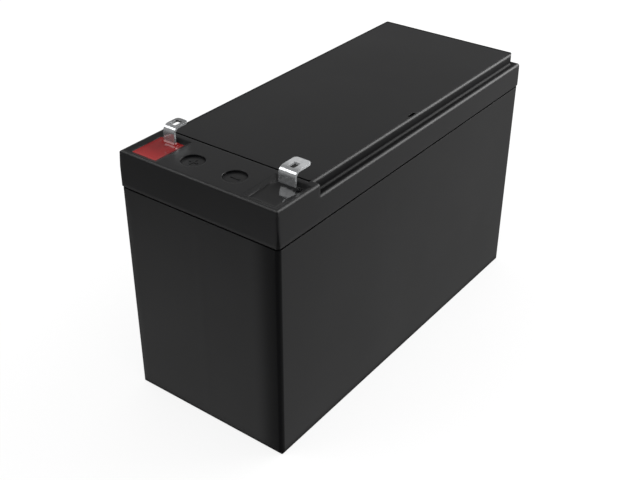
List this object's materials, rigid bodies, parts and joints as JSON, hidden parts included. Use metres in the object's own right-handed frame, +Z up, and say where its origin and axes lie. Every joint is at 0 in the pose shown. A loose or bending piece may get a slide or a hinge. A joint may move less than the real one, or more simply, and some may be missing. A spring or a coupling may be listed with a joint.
{
  "type": "sealed lead acid battery",
  "caption": "Upright rectangular black battery case with a stepped lid, flat vent cover, two resin-sealed corner wells and two bent blade terminals.",
  "frame": {"origin": "middle of the underside of the case", "axes": "+X along the length away from the terminals, +Y across the width towards the positive terminal, +Z up"},
  "size_m": [0.151, 0.065, 0.099],
  "materials": {
    "container_plastic": "black ABS, fine moulded satin",
    "lid_plastic": "black ABS, fine moulded satin",
    "vent_cover_plastic": "black ABS, fine moulded satin",
    "rubber": "black synthetic rubber",
    "tinned_brass": "brass strip with a bright tin plating",
    "red_resin": "red epoxy resin, poured, glossy",
    "black_resin": "black epoxy resin, poured, glossy",
    "positive_plate": "pasted lead dioxide plate, matte dark brown",
    "negative_plate": "pasted spongy lead plate, matte grey",
    "glass_mat": "white absorbent glass mat",
    "cast_lead": "cast lead alloy, dull grey"
  },
  "bodies": {
    "root": {"container": "container_plastic", "lid": "lid_plastic", "vent_cover": "vent_cover_plastic", "valve_cap_1": "rubber", "valve_cap_2": "rubber", "valve_cap_3": "rubber", "valve_cap_4": "rubber", "valve_cap_5": "rubber", "valve_cap_6": "rubber", "positive_terminal": "tinned_brass", "negative_terminal": "tinned_brass", "positive_resin_seal": "red_resin", "negative_resin_seal": "black_resin", "positive_seal_ring": "rubber", "negative_seal_ring": "rubber", "positive_plates_cell_1": "positive_plate", "positive_plates_cell_2": "positive_plate", "positive_plates_cell_3": "positive_plate", "positive_plates_cell_4": "positive_plate", "positive_plates_cell_5": "positive_plate", "positive_plates_cell_6": "positive_plate", "negative_plates_cell_1": "negative_plate", "negative_plates_cell_2": "negative_plate", "negative_plates_cell_3": "negative_plate", "negative_plates_cell_4": "negative_plate", "negative_plates_cell_5": "negative_plate", "negative_plates_cell_6": "negative_plate", "separators_cell_1": "glass_mat", "separators_cell_2": "glass_mat", "separators_cell_3": "glass_mat", "separators_cell_4": "glass_mat", "separators_cell_5": "glass_mat", "separators_cell_6": "glass_mat", "positive_strap_cell_1": "cast_lead", "positive_strap_cell_2": "cast_lead", "positive_strap_cell_3": "cast_lead", "positive_strap_cell_4": "cast_lead", "positive_strap_cell_5": "cast_lead", "positive_strap_cell_6": "cast_lead", "negative_strap_cell_1": "cast_lead", "negative_strap_cell_2": "cast_lead", "negative_strap_cell_3": "cast_lead", "negative_strap_cell_4": "cast_lead", "negative_strap_cell_5": "cast_lead", "negative_strap_cell_6": "cast_lead"}
  },
  "joints": []
}
